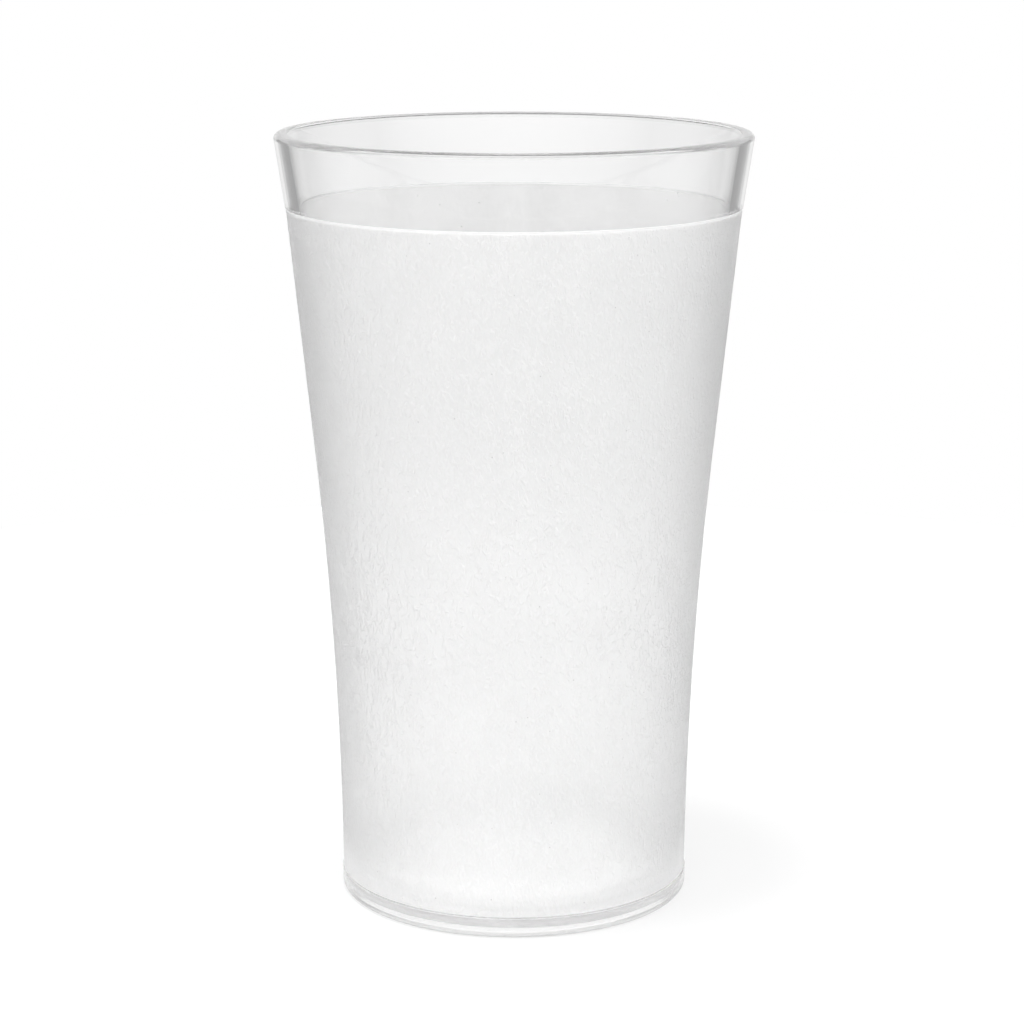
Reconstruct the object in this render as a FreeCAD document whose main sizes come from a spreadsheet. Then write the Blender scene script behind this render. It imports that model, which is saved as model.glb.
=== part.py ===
"""Pint tumbler: one clear moulding, built as six ring-shaped regions that meet face to face.

The part stands on z = 0 with its axis along +Z.  Every region is a PartDesign body made of one
half-section sketch on the XZ plane, revolved about the Z axis.  In a sketch, x is the radius and
y is the height.  All driving dimensions are in the spreadsheet "Dims", in millimetres.
"""
import FreeCAD, Part
import Sketcher
import math
import os

DIMENSIONS = [
    ("total_height", 149.0, "foot to top of lip"),
    ("lip_radius", 45.5, "widest outer radius, where the lip meets the clear band"),
    ("lip_round", 1.3, "radius of the lip's outer round"),
    ("lip_inner_round", 0.5, "radius of the lip's inner round"),
    ("lip_depth", 1.0, "height of the lip region, from where it meets the clear band to its top"),
    ("texture_top", 134.9, "height where the texture stops under the clear band"),
    ("straight_from", 89.0, "height where the curved flare runs into a straight taper"),
    ("flare_radius", 857.0, "radius of the flare's long arc, vertical at the foot"),
    ("heel_radius", 34.1, "outer radius at the foot"),
    ("heel_top", 3.9, "height where the texture starts above the heel band"),
    ("texture_recess", 0.12, "how far the textured wall lies inside the polished bands"),
    ("wall", 2.6, "wall thickness, measured level"),
    ("floor_top", 4.5, "height of the floor's upper face"),
    ("corner_round", 4.0, "radius of the inside corner between floor and wall"),
    ("foot_height", 1.2, "height of the foot ring, also the radius of the bottom corner"),
    ("foot_width", 4.3, "width of the foot ring"),
    ("foot_inner_round", 0.6, "radius on the foot ring's inner edge"),
]

doc = FreeCAD.newDocument("PintTumbler")


def make_sheet():
    """Spreadsheet of driving dimensions: name, value and what it is."""
    sheet = doc.addObject("Spreadsheet::Sheet", "Dims")
    for row, (alias, value, meaning) in enumerate(DIMENSIONS, start=1):
        sheet.set("A%d" % row, alias)
        sheet.set("B%d" % row, str(value))
        sheet.setAlias("B%d" % row, alias)
        sheet.set("C%d" % row, meaning)
    doc.recompute()
    return sheet


dims = make_sheet()


def dim(alias):
    """Expression that names one spreadsheet cell."""
    return "Dims." + alias


def flare(height):
    """Expression for the outer radius of the plain flared wall at a height.

    The wall is an arc that is vertical at z = 0 up to straight_from, then its tangent.
    """
    radius = dim("flare_radius")
    join = dim("straight_from")
    root = "sqrt({0}^2 - {1}^2)"
    arc = "{0} + {1} - " + root.format(radius, "{2}")
    if dims.evalExpression(height) <= dims.evalExpression(join):
        return arc.format(dim("heel_radius"), radius, height)
    slope = "{0} / {1}".format(join, root.format(radius, join))
    start = arc.format(dim("heel_radius"), radius, join)
    return "{0} + {1} * ({2} - {3})".format(start, slope, height, join)


def inner(height):
    """Expression for the inside radius of the flared wall at a height."""
    return flare(height) + " - " + dim("wall")


def textured(height):
    """Expression for the outside radius of the textured wall at a height."""
    return flare(height) + " - " + dim("texture_recess")


# Heights and radii that neighbouring regions share.
FOOT_TOP = dim("foot_height")
HEEL_TOP = dim("heel_top")
FLOOR_TOP = dim("floor_top")
CORNER_TOP = FLOOR_TOP + " + " + dim("corner_round")
JOIN = dim("straight_from")
TEXTURE_TOP = dim("texture_top")
LIP_BASE = "({0} - {1})".format(dim("total_height"), dim("lip_depth"))
FLOOR_EDGE = inner(CORNER_TOP) + " - " + dim("corner_round")
LIP_CENTRE_RADIUS = "{0} - sqrt({1}^2 - ({1} - {2})^2)".format(
    dim("lip_radius"), dim("lip_round"), dim("lip_depth"))
BAND_TOP_OUTER = dim("lip_radius")
BAND_TOP_INNER = BAND_TOP_OUTER + " - " + dim("wall")
BAND_TILT = "atan(({0} - ({1})) / ({2} - {3}))".format(
    BAND_TOP_OUTER, flare(TEXTURE_TOP), LIP_BASE, TEXTURE_TOP)


def origin_plane(body, role):
    """One of a body's own origin planes, found by its role."""
    return next(item for item in body.Origin.OriginFeatures if item.Role == role)


def bind(sketch, name, constraint, expression):
    """Add a dimension to a sketch and drive it from the spreadsheet."""
    index = sketch.addConstraint(constraint)
    sketch.renameConstraint(index, name)
    sketch.setExpression("Constraints." + name, expression)


def place_point(sketch, corner, piece, end, x_expression, y_expression):
    """Fix one end of a piece of outline at a radius and a height."""
    if x_expression == "0":
        sketch.addConstraint(Sketcher.Constraint("PointOnObject", piece, end, -2))
    else:
        x_value = dims.evalExpression(x_expression)
        fixed = Sketcher.Constraint("DistanceX", -1, 1, piece, end, x_value)
        bind(sketch, "radius_%d" % corner, fixed, x_expression)
    if y_expression == "0":
        sketch.addConstraint(Sketcher.Constraint("PointOnObject", piece, end, -1))
    else:
        y_value = dims.evalExpression(y_expression)
        fixed = Sketcher.Constraint("DistanceY", -1, 1, piece, end, y_value)
        bind(sketch, "height_%d" % corner, fixed, y_expression)


def arc_between(start, end, radius, turn):
    """Arc of a radius between two points; turn is +1 for counter-clockwise, -1 for clockwise.

    Sketch arcs always run counter-clockwise, so a clockwise one is given from its far end.
    """
    first, last = (start, end) if turn > 0 else (end, start)
    chord = last - first
    middle = (first + last) * 0.5
    rise = math.sqrt(radius ** 2 - (chord.Length / 2) ** 2)
    left = FreeCAD.Vector(-chord.y, chord.x, 0).normalize()
    centre = middle + left * rise
    up = FreeCAD.Vector(0, 0, 1)
    angles = [math.atan2(point.y - centre.y, point.x - centre.x) for point in (first, last)]
    return Part.ArcOfCircle(Part.Circle(centre, up, radius), angles[0], angles[1])


def add_outline(sketch, corners):
    """Closed outline through corners, each (radius, height) or (radius, height, arc, turn).

    The last two entries give the radius and direction of an arc from that corner to the next;
    corners without them start a straight line.
    """
    points = [FreeCAD.Vector(dims.evalExpression(c[0]), dims.evalExpression(c[1]), 0)
              for c in corners]
    starts = []
    ends = []
    for number, corner in enumerate(corners):
        start = points[number]
        end = points[(number + 1) % len(points)]
        if len(corner) == 2:
            sketch.addGeometry(Part.LineSegment(start, end), False)
            starts.append(1)
            ends.append(2)
        else:
            arc = arc_between(start, end, dims.evalExpression(corner[2]), corner[3])
            sketch.addGeometry(arc, False)
            starts.append(1 if corner[3] > 0 else 2)
            ends.append(2 if corner[3] > 0 else 1)
    for number, corner in enumerate(corners):
        following = (number + 1) % len(corners)
        sketch.addConstraint(Sketcher.Constraint(
            "Coincident", number, ends[number], following, starts[following]))
        place_point(sketch, number, number, starts[number], corner[0], corner[1])
        if len(corner) > 2:
            radius = Sketcher.Constraint("Radius", number, dims.evalExpression(corner[2]))
            bind(sketch, "arc_%d" % number, radius, corner[2])


def revolved_body(label, corners):
    """Body whose half-section is turned once round the Z axis."""
    body = doc.addObject("PartDesign::Body", label)
    body.Label = label
    sketch = body.newObject("Sketcher::SketchObject", label + "_section")
    sketch.AttachmentSupport = [(origin_plane(body, "XZ_Plane"), "")]
    sketch.MapMode = "FlatFace"
    add_outline(sketch, corners)
    doc.recompute()
    turned = body.newObject("PartDesign::Revolution", label + "_turned")
    turned.Profile = sketch
    turned.ReferenceAxis = (sketch, ["V_Axis"])
    turned.Angle = 360.0
    body.Placement = FreeCAD.Placement()
    doc.recompute()
    return body


def make_rim_lip():
    """Drinking lip: a round outside, a narrow flat top and a smaller round inside.

    The inner round runs smoothly into the inside face, which leans out by the band's tilt.
    """
    inner_round = dim("lip_inner_round")
    inner_centre = "{0} + {1} / cos({2}) + ({3} - {1} - {4}) * tan({2})".format(
        BAND_TOP_INNER, inner_round, BAND_TILT, dim("total_height"), LIP_BASE)
    inner_radius = "{0} - {1} * cos({2})".format(inner_centre, inner_round, BAND_TILT)
    inner_height = "{0} - {1} * (1 - sin({2}))".format(
        dim("total_height"), inner_round, BAND_TILT)
    return revolved_body("rim_lip", [
        (BAND_TOP_INNER, LIP_BASE),
        (BAND_TOP_OUTER, LIP_BASE, dim("lip_round"), 1),
        (LIP_CENTRE_RADIUS, dim("total_height")),
        (inner_centre, dim("total_height"), inner_round, 1),
        (inner_radius, inner_height),
    ])


def make_clear_band():
    """Polished band between the texture and the lip, with a steeper flare than the wall."""
    return revolved_body("clear_band", [
        (inner(TEXTURE_TOP), TEXTURE_TOP),
        (flare(TEXTURE_TOP), TEXTURE_TOP),
        (BAND_TOP_OUTER, LIP_BASE),
        (BAND_TOP_INNER, LIP_BASE),
    ])


def make_textured_wall():
    """Flared wall whose outer face lies a little inside the polished bands above and below it."""
    return revolved_body("textured_wall", [
        (FLOOR_EDGE, HEEL_TOP),
        (textured(HEEL_TOP), HEEL_TOP, dim("flare_radius"), -1),
        (textured(JOIN), JOIN),
        (textured(TEXTURE_TOP), TEXTURE_TOP),
        (inner(TEXTURE_TOP), TEXTURE_TOP),
        (inner(JOIN), JOIN, dim("flare_radius"), 1),
        (inner(CORNER_TOP), CORNER_TOP, dim("corner_round"), -1),
        (FLOOR_EDGE, FLOOR_TOP),
    ])


def make_heel_band():
    """Polished ring under the texture, joining the wall to the floor."""
    return revolved_body("heel_band", [
        (FLOOR_EDGE, FOOT_TOP),
        (flare(FOOT_TOP), FOOT_TOP, dim("flare_radius"), -1),
        (flare(HEEL_TOP), HEEL_TOP),
        (FLOOR_EDGE, HEEL_TOP),
    ])


def make_floor_disc():
    """Flat floor of the cup."""
    return revolved_body("floor_disc", [
        ("0", FOOT_TOP),
        (FLOOR_EDGE, FOOT_TOP),
        (FLOOR_EDGE, FLOOR_TOP),
        ("0", FLOOR_TOP),
    ])


def make_foot_ring():
    """Low ring that the tumbler stands on; its outer corner is the rounded bottom edge."""
    round_radius = dim("foot_height")
    inner_edge = dim("heel_radius") + " - " + dim("foot_width")
    inner_round = dim("foot_inner_round")
    return revolved_body("foot_ring", [
        (inner_edge + " + " + inner_round, "0"),
        (flare(FOOT_TOP) + " - " + round_radius, "0", round_radius, 1),
        (flare(FOOT_TOP), FOOT_TOP),
        (inner_edge, FOOT_TOP),
        (inner_edge, inner_round, inner_round, 1),
    ])


def check_document():
    """Stop if any object failed to compute."""
    for item in doc.Objects:
        if "Invalid" in item.State or "Error" in item.State:
            raise RuntimeError("%s failed: %s" % (item.Name, item.State))


def write_parts(bodies):
    """Write each body's solid to parts/NODE.step."""
    for body in bodies:
        if body.Shape.isNull() or not body.Shape.isValid():
            raise RuntimeError("%s has no valid shape" % body.Label)
    os.makedirs("parts", exist_ok=True)
    for body in bodies:
        body.Shape.exportStep("parts/%s.step" % body.Label)
        print("%-14s %9.1f mm3" % (body.Label, body.Shape.Volume))


parts = [
    make_rim_lip(),
    make_clear_band(),
    make_textured_wall(),
    make_heel_band(),
    make_floor_disc(),
    make_foot_ring(),
]
doc.recompute()
check_document()
write_parts(parts)
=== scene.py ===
"""Pint tumbler in clear and frosted plastic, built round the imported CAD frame.

Metres, +Z up, standing on z = 0.  Each CAD node is one region of a single moulding, so each is
replaced by a finished piece of the same shape.  Where two pieces meet, both have a seam face that
lets light straight through: together they refract as one moulding, and each mesh is closed.
"""

import math

import bpy
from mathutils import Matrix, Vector, noise


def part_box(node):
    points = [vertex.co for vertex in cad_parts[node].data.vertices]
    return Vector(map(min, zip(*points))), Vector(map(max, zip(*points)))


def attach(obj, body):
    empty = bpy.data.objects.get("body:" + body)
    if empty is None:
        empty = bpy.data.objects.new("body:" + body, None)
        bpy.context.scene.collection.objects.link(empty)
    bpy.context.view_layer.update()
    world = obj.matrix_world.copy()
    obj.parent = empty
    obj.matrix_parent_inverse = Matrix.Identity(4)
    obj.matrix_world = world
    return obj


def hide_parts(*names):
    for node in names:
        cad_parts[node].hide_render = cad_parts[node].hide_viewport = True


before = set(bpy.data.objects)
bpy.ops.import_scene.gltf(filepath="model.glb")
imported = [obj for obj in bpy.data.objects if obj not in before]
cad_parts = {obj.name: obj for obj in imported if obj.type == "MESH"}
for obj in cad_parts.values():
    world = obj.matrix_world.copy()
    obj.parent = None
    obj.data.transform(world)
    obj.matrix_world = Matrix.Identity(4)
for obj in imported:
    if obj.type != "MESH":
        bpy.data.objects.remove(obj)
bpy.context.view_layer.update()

MM = 0.001

# Heights and radii read from the CAD nodes.
_, lip_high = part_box("rim_lip")
TOTAL_HEIGHT = lip_high.z
LIP_RADIUS = lip_high.x
LIP_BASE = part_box("clear_band")[1].z
TEXTURE_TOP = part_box("textured_wall")[1].z
HEEL_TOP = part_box("heel_band")[1].z
FLOOR_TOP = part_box("floor_disc")[1].z
FLOOR_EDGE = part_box("floor_disc")[1].x
FOOT_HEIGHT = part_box("foot_ring")[1].z
HEEL_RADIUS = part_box("foot_ring")[1].x

# Shape values that the boxes don't give, the same as in the CAD model.
WALL = 2.6 * MM
TEXTURE_RECESS = 0.12 * MM
FLARE_RADIUS = 857 * MM
STRAIGHT_FROM = 89 * MM
LIP_ROUND = 1.3 * MM
LIP_INNER_ROUND = 0.5 * MM
CORNER_ROUND = 4 * MM
FOOT_WIDTH = 4.3 * MM
FOOT_INNER_ROUND = 0.6 * MM

# Small finish details: rounded band edges, the witness groove where the texture stops, the
# pale line just above it, which is a painted highlight, and the pebbles pressed into the wall.
EDGE_BREAK = 0.08 * MM
GROOVE_DEPTH = 0.10 * MM
GROOVE_HEIGHT = 0.3 * MM
EDGE_LINE = 0.22 * MM
PEBBLE_SIZE = 1.3 * MM
PEBBLE_DEPTH = 0.035 * MM
PEBBLE_FADE = 1.0 * MM

# Mesh fineness.
CLEAR_SEGMENTS = 960
WALL_SEGMENTS = 560
WALL_ROWS = 140
INNER_ROWS = 12
ROUND_STEPS = 10
BAND_STEPS = 6
EDGE_BREAK_STEPS = 4
HEEL_STEPS = 3
SHORT_STEPS = 2
SHARP_ANGLE = math.radians(28)
ON_AXIS = 1e-9

# Outline tags, which are also the material slots of a piece.
CLEAR, FROSTED, EDGE, SEAM = "clear", "frosted", "edge", "seam"


def flare(height):
    """Outer radius of the plain flared wall: an arc, vertical at the foot, then its tangent."""
    low = min(height, STRAIGHT_FROM)
    root = math.sqrt(FLARE_RADIUS ** 2 - low ** 2)
    radius = HEEL_RADIUS + FLARE_RADIUS - root
    return radius + max(height - STRAIGHT_FROM, 0) * low / root


def line(start, end, steps, tag):
    """Straight stretch of outline from start up to, not including, end."""
    return [(start[0] + (end[0] - start[0]) * i / steps,
             start[1] + (end[1] - start[1]) * i / steps, tag) for i in range(steps)]


def wall_run(low, high, steps, offset, tag):
    """Stretch of outline that follows the flared wall at an offset, without its last point."""
    heights = [low + (high - low) * i / steps for i in range(steps)]
    return [(flare(height) + offset, height, tag) for height in heights]


def arc(centre, radius, first, last, steps, tag):
    """Round stretch of outline between two angles in degrees, without its last point."""
    angles = [math.radians(first + (last - first) * i / steps) for i in range(steps)]
    return [(centre[0] + radius * math.cos(a), centre[1] + radius * math.sin(a), tag)
            for a in angles]


def lathe(name, outline, materials, segments):
    """Closed mesh from an outline of (radius, height, tag), turned round the Z axis.

    A tag belongs to the stretch from its point to the next one.  A point on the axis makes a pole.
    """
    verts = []
    rings = []
    for radius, height, _ in outline:
        if radius < ON_AXIS:
            rings.append([len(verts)] * segments)
            verts.append((0.0, 0.0, height))
            continue
        rings.append(list(range(len(verts), len(verts) + segments)))
        for step in range(segments):
            angle = math.tau * step / segments
            verts.append((radius * math.cos(angle), radius * math.sin(angle), height))
    faces = []
    tags = []
    for number, (_, _, tag) in enumerate(outline):
        here = rings[number]
        there = rings[(number + 1) % len(rings)]
        for step in range(segments):
            after = (step + 1) % segments
            corners = [here[step], here[after], there[after], there[step]]
            corners = list(dict.fromkeys(corners))
            if len(corners) > 2:
                faces.append(corners)
                tags.append(tag)
    mesh = bpy.data.meshes.new(name)
    mesh.from_pydata(verts, [], faces)
    used = [tag for tag in (CLEAR, FROSTED, EDGE, SEAM) if tag in tags]
    for tag in used:
        mesh.materials.append(materials[tag])
    mesh.polygons.foreach_set("material_index", [used.index(tag) for tag in tags])
    mesh.shade_smooth()
    mesh.set_sharp_from_angle(angle=SHARP_ANGLE)
    mesh.validate()
    mesh.update()
    piece = bpy.data.objects.new(name, mesh)
    bpy.context.scene.collection.objects.link(piece)
    return piece


# The lip: its widest radius is where it meets the clear band.  The outer round ends in a narrow
# flat top, and the inner round runs smoothly into the inside face.
LIP_CENTRE_HEIGHT = TOTAL_HEIGHT - LIP_ROUND
LIP_RISE = LIP_BASE - LIP_CENTRE_HEIGHT
LIP_CENTRE = (LIP_RADIUS - math.sqrt(LIP_ROUND ** 2 - LIP_RISE ** 2), LIP_CENTRE_HEIGHT)
BAND_TOP_OUTER = LIP_RADIUS
BAND_TOP_INNER = BAND_TOP_OUTER - WALL
BAND_TILT = math.atan2(BAND_TOP_OUTER - flare(TEXTURE_TOP), LIP_BASE - TEXTURE_TOP)
INNER_CENTRE = (
    BAND_TOP_INNER + LIP_INNER_ROUND / math.cos(BAND_TILT)
    + (TOTAL_HEIGHT - LIP_INNER_ROUND - LIP_BASE) * math.tan(BAND_TILT),
    TOTAL_HEIGHT - LIP_INNER_ROUND)
FOOT_INNER = HEEL_RADIUS - FOOT_WIDTH


def edge_break(radius, height, first, last, tag):
    """Tiny rounding of a band's outer corner; first and last are angles in degrees."""
    side = 1 if first < 0 else -1
    centre = (radius - EDGE_BREAK, height + side * EDGE_BREAK)
    return arc(centre, EDGE_BREAK, first, last, EDGE_BREAK_STEPS, tag)


def lip_outline():
    """Drinking lip: round outside, narrow flat top, smaller round inside."""
    first = math.degrees(math.asin(LIP_RISE / LIP_ROUND))
    last = 180 - math.degrees(BAND_TILT)
    tangent = (INNER_CENTRE[0] - LIP_INNER_ROUND * math.cos(BAND_TILT),
               INNER_CENTRE[1] + LIP_INNER_ROUND * math.sin(BAND_TILT))
    return (
        [(BAND_TOP_INNER, LIP_BASE, SEAM)]
        + arc(LIP_CENTRE, LIP_ROUND, first, 90, 2 * ROUND_STEPS, CLEAR)
        + line((LIP_CENTRE[0], TOTAL_HEIGHT), (INNER_CENTRE[0], TOTAL_HEIGHT), SHORT_STEPS, CLEAR)
        + arc(INNER_CENTRE, LIP_INNER_ROUND, 90, last, ROUND_STEPS, CLEAR)
        + line(tangent, (BAND_TOP_INNER, LIP_BASE), SHORT_STEPS, CLEAR)
    )


def band_outline():
    """Polished clear band; its lower outer edge is a small ledge over the texture."""
    low_outer = flare(TEXTURE_TOP)
    low_inner = low_outer - WALL
    groove = low_outer - TEXTURE_RECESS - GROOVE_DEPTH
    line_top = TEXTURE_TOP + EDGE_LINE
    return (
        [(low_inner, TEXTURE_TOP, SEAM), (groove, TEXTURE_TOP, EDGE)]
        + edge_break(low_outer, TEXTURE_TOP, -90, 0, EDGE)
        + [(low_outer, TEXTURE_TOP + EDGE_BREAK, EDGE)]
        + line((flare(line_top), line_top), (BAND_TOP_OUTER, LIP_BASE), BAND_STEPS, CLEAR)
        + [(BAND_TOP_OUTER, LIP_BASE, SEAM)]
        + line((BAND_TOP_INNER, LIP_BASE), (low_inner, TEXTURE_TOP), BAND_STEPS, CLEAR)
    )


def wall_outline():
    """Long flared wall: textured outside, smooth inside, with the cup's rounded inner corner.

    A shallow polished groove runs round it at each end of the texture.
    """
    corner_top = FLOOR_TOP + CORNER_ROUND
    low = HEEL_TOP + GROOVE_HEIGHT
    high = TEXTURE_TOP - GROOVE_HEIGHT
    deep = -TEXTURE_RECESS - GROOVE_DEPTH
    return (
        [(FLOOR_EDGE, HEEL_TOP, SEAM)]
        + [(flare(HEEL_TOP) + deep, HEEL_TOP, CLEAR)]
        + wall_run(low, high, WALL_ROWS, -TEXTURE_RECESS, FROSTED)
        + [(flare(high) - TEXTURE_RECESS, high, EDGE)]
        + [(flare(TEXTURE_TOP) + deep, TEXTURE_TOP, SEAM)]
        + wall_run(TEXTURE_TOP, corner_top, INNER_ROWS, -WALL, CLEAR)
        + arc((FLOOR_EDGE, corner_top), CORNER_ROUND, 0, -90, ROUND_STEPS, CLEAR)
        + [(FLOOR_EDGE, FLOOR_TOP, SEAM)]
    )


def heel_outline():
    """Polished ring under the texture; its upper outer edge is a small ledge."""
    outer = flare(HEEL_TOP)
    return (
        [(FLOOR_EDGE, FOOT_HEIGHT, CLEAR), (FOOT_INNER, FOOT_HEIGHT, SEAM)]
        + line((flare(FOOT_HEIGHT), FOOT_HEIGHT), (outer, HEEL_TOP - EDGE_BREAK),
               HEEL_STEPS, CLEAR)
        + edge_break(outer, HEEL_TOP, 0, 90, CLEAR)
        + [(outer - EDGE_BREAK, HEEL_TOP, CLEAR)]
        + [(outer - TEXTURE_RECESS - GROOVE_DEPTH, HEEL_TOP, SEAM)]
        + [(FLOOR_EDGE, HEEL_TOP, SEAM)]
    )


def floor_outline():
    """Flat floor of the cup, out to where the inside corner begins."""
    return [
        (0, FOOT_HEIGHT, CLEAR),
        (FLOOR_EDGE, FOOT_HEIGHT, SEAM),
        (FLOOR_EDGE, HEEL_TOP, SEAM),
        (FLOOR_EDGE, FLOOR_TOP, CLEAR),
        (0, FLOOR_TOP, CLEAR),
    ]


def foot_outline():
    """Low ring that the tumbler stands on; its outer round is the bottom corner."""
    outer = flare(FOOT_HEIGHT)
    return (
        arc((FOOT_INNER + FOOT_INNER_ROUND, FOOT_INNER_ROUND), FOOT_INNER_ROUND,
            180, 270, ROUND_STEPS, CLEAR)
        + [(FOOT_INNER + FOOT_INNER_ROUND, 0, CLEAR)]
        + arc((outer - FOOT_HEIGHT, FOOT_HEIGHT), FOOT_HEIGHT, -90, 0, ROUND_STEPS, CLEAR)
        + [(outer, FOOT_HEIGHT, SEAM), (FOOT_INNER, FOOT_HEIGHT, CLEAR)]
    )


def pebble(piece):
    """Presses the moulded pebble texture into the wall's outer face, fading out at both ends."""
    for vertex in piece.data.vertices:
        place = vertex.co
        radius = math.hypot(place.x, place.y)
        if not HEEL_TOP < place.z < TEXTURE_TOP or radius < flare(place.z) - WALL / 2:
            continue
        distances, _ = noise.voronoi(place / PEBBLE_SIZE)
        from_end = min(place.z - HEEL_TOP, TEXTURE_TOP - place.z)
        press = PEBBLE_DEPTH * min(1, from_end / PEBBLE_FADE) * min(distances[0], 1)
        place.x -= place.x / radius * press
        place.y -= place.y / radius * press


class Tree:
    """Small helper for building a node tree."""

    def __init__(self, owner):
        owner.use_nodes = True
        self.tree = owner.node_tree
        self.tree.nodes.clear()

    def add(self, kind, values=None, **settings):
        """New node, with its settings and its inputs' values or incoming links."""
        node = self.tree.nodes.new(kind)
        for name, value in settings.items():
            setattr(node, name, value)
        for name, value in (values or {}).items():
            if isinstance(value, bpy.types.NodeSocket):
                self.tree.links.new(value, node.inputs[name])
            else:
                node.inputs[name].default_value = value
        return node

    def maths(self, operation, *values):
        """Output of a Math node."""
        return self.add("ShaderNodeMath", dict(enumerate(values)), operation=operation).outputs[0]


def grain(tree, size, detail=2.0, roughness=0.5):
    """Noise over the object's own coordinates; size is the spacing of its lumps in metres."""
    where = tree.add("ShaderNodeTexCoord").outputs["Object"]
    return tree.add("ShaderNodeTexNoise", {
        "Vector": where, "Scale": 1 / size, "Detail": detail, "Roughness": roughness,
    }).outputs["Fac"]


def remap(tree, value, low, high, to_low, to_high):
    """Value stretched from one range to another and held inside it."""
    return tree.add("ShaderNodeMapRange", {
        "Value": value, "From Min": low, "From Max": high, "To Min": to_low, "To Max": to_high,
    }).outputs["Result"]


# Plastic: tints of the polished parts; the lip's and the heel's darker tints are painted shade,
# and the edge line's pale tint is a painted highlight.
PLASTIC_IOR = 1.57
PLASTIC_TINT = 0.987
# Painted shade: the lip's plastic is tinted darker than the band, which greys the lip.
LIP_SHADE_TINT = 0.84
# Painted shade: the heel, floor and foot are tinted darker than the band.
HEEL_SHADE_TINT = 0.93
# Painted highlight: the edge line is a pale, mostly matte white.
HIGHLIGHT_LINE_TINT = 0.97

# Polished plastic: spacing of its light wear, and of the slow waves left by moulding.
WEAR_SIZE = 6 * MM
WEAR_SPREAD = (0.45, 0.8)
WAVE_SIZE = 9 * MM
WAVE_HEIGHT = 0.05 * MM
WAVE_STRENGTH = 0.2

# Frosted plastic: crinkle, specks, clouding, and painted shade in the crinkle's low parts.  A
# spread is the part of a noise that is used.
CRINKLE_SIZE = 0.7 * MM
CRINKLE_HEIGHT = 0.07 * MM
CRINKLE_STRETCH = (1, 1, 0.5)
STROKE_SPREAD = (0.5, 0.62)
SPECK_SPACING = 2.2 * MM
SPECK_EDGE = (0.04, 0.08)
PALE_SHARE = 0.5
DARK_SHARE = 0.3
DARK_SPECK = 0.62
CLOUD_SIZE = 14 * MM
CLOUD_SHARE = 0.4
PIT_SHADE_SPREAD = (0.38, 0.62)
PIT_SHADE_SHARE = 0.6
CLOUD_AND_PIT_SHADE_TINT = 0.90
OUTER_ROUGHNESS = (0.34, 0.44)
MILKY_FROM = HEEL_TOP + 3 * MM
MILKY_TO = HEEL_TOP + 9 * MM
CLEARNESS = (0.62, 0.76)
PALE_CUT = 0.8

# How much of the frosted relief and roughness acts on light that meets it from inside.
RELIEF_INSIDE = 0.1
ROUGHNESS_INSIDE = 0.45

# Pale edge line, a painted highlight: its roughness, and its clearness from outside and from
# inside.
EDGE_GRAIN = 1.5 * MM
EDGE_ROUGHNESS = (0.4, 0.5)
EDGE_CLEARNESS = (0.3, 0.95)


# The middle of a noise's range, which nearly all of it lies in.
NOISE_SPREAD = (0.3, 0.7)


def grey(level):
    """Opaque grey of one level."""
    return (level, level, level, 1)


def from_inside(tree, outside, inside):
    """One value for light that meets the face from outside, another for light from inside."""
    backfacing = tree.add("ShaderNodeNewGeometry").outputs["Backfacing"]
    return remap(tree, backfacing, 0, 1, outside, inside)


def clear_material(name, tint, smooth, worn, clarity):
    """Polished moulded plastic with faint flow waves; its roughness runs from smooth to worn."""
    material = bpy.data.materials.new(name)
    tree = Tree(material)
    wear = remap(tree, grain(tree, WEAR_SIZE, 5), *WEAR_SPREAD, smooth, worn)
    waves = tree.add("ShaderNodeBump", {
        "Height": grain(tree, WAVE_SIZE, 1), "Strength": WAVE_STRENGTH, "Distance": WAVE_HEIGHT})
    shader = tree.add("ShaderNodeBsdfPrincipled", {
        "Base Color": grey(tint), "Roughness": wear, "IOR": PLASTIC_IOR,
        "Transmission Weight": clarity, "Normal": waves.outputs[0]})
    tree.add("ShaderNodeOutputMaterial", {"Surface": shader.outputs[0]})
    return material


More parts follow.
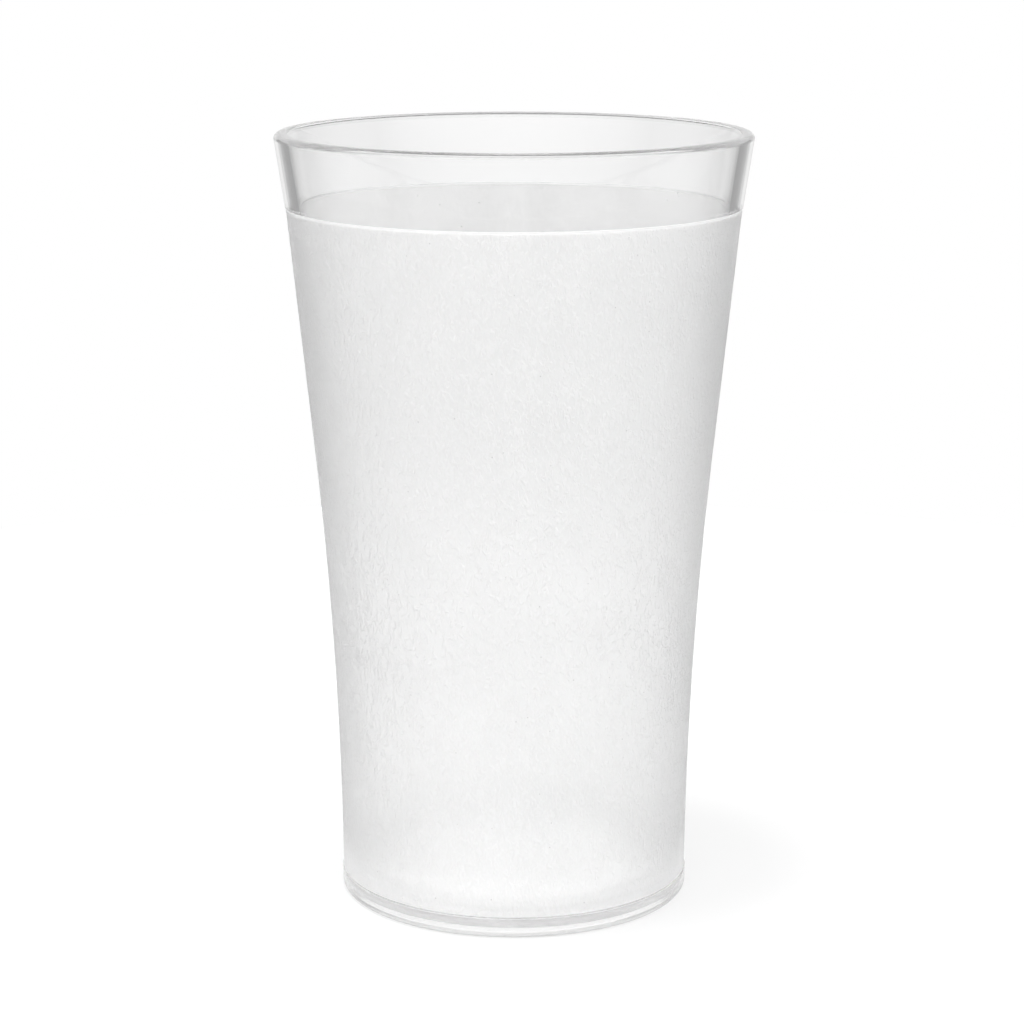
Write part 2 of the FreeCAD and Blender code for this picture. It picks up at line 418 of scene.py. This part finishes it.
def frosted_material():
    """The same plastic with a fine crinkled matte texture, painted shade in the crinkle's low
    parts, and some specks.

    It is milkier just above the heel.
    """
    material = bpy.data.materials.new("frosted_plastic")
    tree = Tree(material)
    where = tree.add("ShaderNodeTexCoord").outputs["Object"]
    height = tree.add("ShaderNodeSeparateXYZ", {0: where}).outputs["Z"]

    tall = tree.add("ShaderNodeVectorMath", {0: where, 1: CRINKLE_STRETCH}, operation="MULTIPLY")
    crinkle = tree.add("ShaderNodeTexNoise", {
        "Vector": tall.outputs[0], "Scale": 1 / CRINKLE_SIZE, "Detail": 2.0, "Distortion": 1.0,
    }).outputs["Fac"]
    strokes = remap(tree, crinkle, *STROKE_SPREAD, 0.0, 1.0)
    relief = tree.add("ShaderNodeBump", {
        "Height": strokes, "Strength": from_inside(tree, 1.0, RELIEF_INSIDE),
        "Distance": CRINKLE_HEIGHT})

    cells = tree.add("ShaderNodeTexVoronoi", {"Vector": where, "Scale": 1 / SPECK_SPACING})
    spot = remap(tree, cells.outputs["Distance"], *SPECK_EDGE, 1.0, 0.0)
    lot = tree.add("ShaderNodeSeparateColor", {0: cells.outputs["Color"]}).outputs["Red"]
    pale = tree.maths("MULTIPLY", spot, tree.maths("GREATER_THAN", lot, PALE_SHARE))
    dark = tree.maths("MULTIPLY", spot, tree.maths("LESS_THAN", lot, DARK_SHARE))

    clouds = remap(tree, grain(tree, CLOUD_SIZE, 4), *NOISE_SPREAD, 0.0, CLOUD_SHARE)
    # Painted shade: the tone is darker where the crinkle's relief is low; the clouds are random
    # tone.
    pit_shade = remap(tree, crinkle, *PIT_SHADE_SPREAD, PIT_SHADE_SHARE, 0.0)
    clouds_and_pit_shade = tree.maths("ADD", clouds, pit_shade)
    tone = tree.add("ShaderNodeMix", {
        0: clouds_and_pit_shade, 6: grey(1), 7: grey(CLOUD_AND_PIT_SHADE_TINT)}, data_type="RGBA").outputs[2]
    spotted = tree.add("ShaderNodeMix", {
        0: dark, 6: tone, 7: grey(DARK_SPECK)}, data_type="RGBA").outputs[2]

    outer_matte = remap(tree, crinkle, *NOISE_SPREAD, *OUTER_ROUGHNESS)
    matte = tree.maths("MULTIPLY", outer_matte, from_inside(tree, 1.0, ROUGHNESS_INSIDE))
    milky = remap(tree, height, MILKY_FROM, MILKY_TO, *CLEARNESS)
    clearness = tree.maths("SUBTRACT", milky, tree.maths("MULTIPLY", pale, PALE_CUT))
    shader = tree.add("ShaderNodeBsdfPrincipled", {
        "Base Color": spotted, "Roughness": matte, "IOR": PLASTIC_IOR,
        "Transmission Weight": clearness, "Normal": relief.outputs[0]})
    tree.add("ShaderNodeOutputMaterial", {"Surface": shader.outputs[0]})
    return material


def highlight_line_material():
    """Pale, mostly matte plastic along the sharp moulded step where the polished band stops: a
    painted highlight line.
    """
    material = bpy.data.materials.new("highlight_line_plastic")
    tree = Tree(material)
    matte = remap(tree, grain(tree, EDGE_GRAIN, 3), *NOISE_SPREAD, *EDGE_ROUGHNESS)
    shader = tree.add("ShaderNodeBsdfPrincipled", {
        "Base Color": grey(HIGHLIGHT_LINE_TINT), "Roughness": matte, "IOR": PLASTIC_IOR,
        "Transmission Weight": from_inside(tree, *EDGE_CLEARNESS)})
    tree.add("ShaderNodeOutputMaterial", {"Surface": shader.outputs[0]})
    return material


def seam_material():
    """Faces inside the moulding, where one piece meets the next: nothing is there to see."""
    material = bpy.data.materials.new("seam")
    tree = Tree(material)
    shader = tree.add("ShaderNodeBsdfTransparent", {"Color": grey(1)})
    tree.add("ShaderNodeOutputMaterial", {"Surface": shader.outputs[0]})
    return material


def build_tumbler():
    """The six pieces, each standing for its CAD node and riding on the only body."""
    shared = {FROSTED: frosted_material(), EDGE: highlight_line_material(), SEAM: seam_material()}
    bright = {**shared, CLEAR: clear_material(
        "clear_plastic", PLASTIC_TINT, smooth=0.01, worn=0.05, clarity=1.0)}
    # The lip's copy of the clear plastic: worn roughness, and a darker tint that is painted shade.
    worn_and_shaded_lip = {**shared, CLEAR: clear_material(
        "rim_plastic", LIP_SHADE_TINT, smooth=0.02, worn=0.05, clarity=0.98)}
    # The heel, floor and foot share a copy of the clear plastic with scuffed roughness and a
    # darker tint that is painted shade.
    scuffed_and_shaded = {**shared, CLEAR: clear_material(
        "heel_plastic", HEEL_SHADE_TINT, smooth=0.14, worn=0.24, clarity=0.85)}
    pieces = (
        ("drinking_lip", "rim_lip", lip_outline, CLEAR_SEGMENTS, worn_and_shaded_lip, "clear_plastic"),
        ("rim_band", "clear_band", band_outline, CLEAR_SEGMENTS, bright, "clear_plastic"),
        ("pebbled_wall", "textured_wall", wall_outline, WALL_SEGMENTS, bright, "frosted_plastic"),
        ("heel_ring", "heel_band", heel_outline, CLEAR_SEGMENTS, scuffed_and_shaded, "clear_plastic"),
        ("cup_floor", "floor_disc", floor_outline, CLEAR_SEGMENTS, scuffed_and_shaded, "clear_plastic"),
        ("standing_foot", "foot_ring", foot_outline, CLEAR_SEGMENTS, scuffed_and_shaded, "clear_plastic"),
    )
    for name, node, outline, segments, finish, slot in pieces:
        piece = lathe(name, outline(), finish, segments)
        if node == "textured_wall":
            pebble(piece)
        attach(piece, "root")
        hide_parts(node)


# Studio, as the plastic sees it.  AROUND: grey levels at camera height, by degrees round from
# straight behind.  UPWARD: grey levels by height on the sky.  The sky in front is brighter, from
# FRONT_FROM degrees round and above FRONT_LOW on the sky.
ROOM_LEVEL = 1.02
STUDIO_AROUND = (
    (0, 0.85), (22.5, 0.85), (25.5, 0.37), (42, 0.37), (50, 0.52), (60, 0.65), (80, 0.88),
    (100, 0.88), (104, 0.45), (118, 0.45), (122, 0.88), (150, 0.88), (157, 0.50), (168, 0.50),
    (175, 0.95), (180, 0.95))
STUDIO_UPWARD = ((-1, 1), (-0.3, 1), (-0.2, 0), (0.06, 0), (0.22, 1), (1, 1))
FRONT_SKY = 1.7
FRONT_FROM = (80, 120)
FRONT_LOW = (0.10, 0.30)

# Key light.
KEY_PLACE = (-0.070, -0.055, 0.85)
KEY_SIZE = 0.2
KEY_POWER = 10

# Table: glow and paleness as the camera sees them, and as the plastic does.
TABLE_RADIUS = 0.35
TABLE_SIDES = 128
TABLE_ROUGHNESS = 0.9
SEEN_GLOW = 0.78
SEEN_ALBEDO = 0.12
HIDDEN_GLOW = 0.92
HIDDEN_ALBEDO = 0.06

# The table's painted glow towards the plastic: a painted pool of light in the middle, a painted
# bright ring, and a painted sheen at low angles.  Each fades between two distances, or between two
# values of Layer Weight's Facing.
MIDDLE_LEVEL = 0.66
MIDDLE_FADE = (0.045, 0.065)
RING_RADIUS = 0.145
RING_FADE = (0.02, 0.04)
STEEP_LEVEL = 0.05
GLANCE_FADE = (0.38, 0.56)

# Light bounces: enough to cross both walls several times.
GLASS_BOUNCES = 28
DIFFUSE_BOUNCES = 3
SEAM_CROSSINGS = 40

# Camera.
CAMERA_BACK = 0.5537
CAMERA_HEIGHT = 0.1983
CAMERA_SIDE = -0.0004
CAMERA_DOWN = 12.545
LENS = 102.36
SENSOR_WIDTH = 36


def make_camera():
    """Camera a little above the mouth, looking down at the tumbler through a long lens."""
    data = bpy.data.cameras.new("camera")
    data.lens = LENS
    data.sensor_width = SENSOR_WIDTH
    camera = bpy.data.objects.new("camera", data)
    camera.location = (CAMERA_SIDE, -CAMERA_BACK, CAMERA_HEIGHT)
    camera.rotation_euler = (math.radians(90 - CAMERA_DOWN), 0, 0)
    bpy.context.scene.collection.objects.link(camera)
    bpy.context.scene.camera = camera


def grey_ramp(tree, value, stops):
    """Grey level that follows stops of (value, level)."""
    node = tree.add("ShaderNodeValToRGB", {0: value})
    points = node.color_ramp.elements
    while len(points) < len(stops):
        points.new(0.5)
    for point, (place, level) in zip(points, stops):
        point.position = place
        point.color = grey(level)
    return node.outputs["Color"]


def make_world():
    """White backdrop for the camera, and for the plastic a studio with low grey flags.

    The flags draw the dark edge lines.
    """
    world = bpy.data.worlds.new("studio")
    bpy.context.scene.world = world
    tree = Tree(world)
    where = tree.add("ShaderNodeTexCoord").outputs["Generated"]
    parts = tree.add("ShaderNodeSeparateXYZ", {0: where}).outputs
    turn = tree.maths("ARCTAN2", parts["X"], parts["Y"])
    half_turns = tree.maths("DIVIDE", tree.maths("ABSOLUTE", turn), math.pi)
    around = grey_ramp(tree, half_turns, [(a / 180, level) for a, level in STUDIO_AROUND])
    height = remap(tree, parts["Z"], -1.0, 1.0, 0.0, 1.0)
    upward = grey_ramp(tree, height, [((z + 1) / 2, level) for z, level in STUDIO_UPWARD])
    front_low, front_high = FRONT_FROM
    front = remap(tree, half_turns, front_low / 180, front_high / 180, 0.0, FRONT_SKY)
    above = remap(tree, parts["Z"], *FRONT_LOW, 0.0, 1.0)
    sky = tree.maths("MULTIPLY_ADD", front, above, upward)
    level = tree.maths("MULTIPLY", tree.maths("MAXIMUM", around, sky), ROOM_LEVEL)
    room = tree.add("ShaderNodeBackground", {"Color": grey(1), "Strength": level})
    backdrop = tree.add("ShaderNodeBackground", {"Color": grey(1), "Strength": 1.0})
    seen = tree.add("ShaderNodeLightPath").outputs["Is Camera Ray"]
    mix = tree.add("ShaderNodeMixShader", {0: seen, 1: room.outputs[0], 2: backdrop.outputs[0]})
    tree.add("ShaderNodeOutputWorld", {"Surface": mix.outputs[0]})


def make_light(name, place, size, power):
    """Round softbox aimed at the middle of the tumbler; the plastic doesn't mirror it."""
    data = bpy.data.lights.new(name, "AREA")
    data.shape = "DISK"
    data.size = size
    data.energy = power
    light = bpy.data.objects.new(name, data)
    light.visible_transmission = False
    light.visible_glossy = False
    light.location = place
    aim = Vector((0, 0, TOTAL_HEIGHT / 2)) - Vector(place)
    light.rotation_euler = aim.to_track_quat("-Z", "Y").to_euler()
    bpy.context.scene.collection.objects.link(light)


def make_floor():
    """Plain pale round table top: evenly lit for the camera, patterned glow for the plastic."""
    mesh = bpy.data.meshes.new("table")
    angles = [math.tau * i / TABLE_SIDES for i in range(TABLE_SIDES)]
    rim = [(TABLE_RADIUS * math.cos(a), TABLE_RADIUS * math.sin(a), 0) for a in angles]
    mesh.from_pydata(rim, [], [list(range(TABLE_SIDES))])
    floor = bpy.data.objects.new("table", mesh)
    bpy.context.scene.collection.objects.link(floor)
    material = bpy.data.materials.new("table_white")
    tree = Tree(material)
    where = tree.add("ShaderNodeTexCoord").outputs["Object"]
    reach = tree.add("ShaderNodeVectorMath", {0: where}, operation="LENGTH").outputs["Value"]
    middle = remap(tree, reach, *MIDDLE_FADE, MIDDLE_LEVEL, 0.0)
    off_ring = tree.maths("ABSOLUTE", tree.maths("SUBTRACT", reach, RING_RADIUS))
    ring = remap(tree, off_ring, *RING_FADE, 1.0, 0.0)
    facing = tree.add("ShaderNodeLayerWeight", {"Blend": 0.5}).outputs["Facing"]
    glance = remap(tree, facing, *GLANCE_FADE, STEEP_LEVEL, 1.0)
    brightest = tree.maths("MAXIMUM", tree.maths("MAXIMUM", middle, ring), glance)
    pool = tree.maths("MULTIPLY", brightest, HIDDEN_GLOW)
    seen = tree.add("ShaderNodeLightPath").outputs["Is Camera Ray"]
    glow = tree.add("ShaderNodeMix", {0: seen, 2: pool, 3: SEEN_GLOW}).outputs[0]
    albedo = tree.add("ShaderNodeMix", {0: seen, 2: HIDDEN_ALBEDO, 3: SEEN_ALBEDO}).outputs[0]
    shader = tree.add("ShaderNodeBsdfPrincipled", {
        "Base Color": albedo, "Roughness": TABLE_ROUGHNESS, "Specular IOR Level": 0.0,
        "Emission Color": grey(1), "Emission Strength": glow})
    tree.add("ShaderNodeOutputMaterial", {"Surface": shader.outputs[0]})
    mesh.materials.append(material)


def set_render():
    """Plain view of the colours, and enough bounces for light to cross the walls."""
    scene = bpy.context.scene
    scene.view_settings.view_transform = "Standard"
    scene.cycles.max_bounces = GLASS_BOUNCES
    scene.cycles.transmission_bounces = GLASS_BOUNCES
    scene.cycles.glossy_bounces = GLASS_BOUNCES
    scene.cycles.diffuse_bounces = DIFFUSE_BOUNCES
    scene.cycles.transparent_max_bounces = SEAM_CROSSINGS


build_tumbler()
make_camera()
make_world()
make_light("key_above_left", KEY_PLACE, KEY_SIZE, KEY_POWER)
make_floor()
set_render()
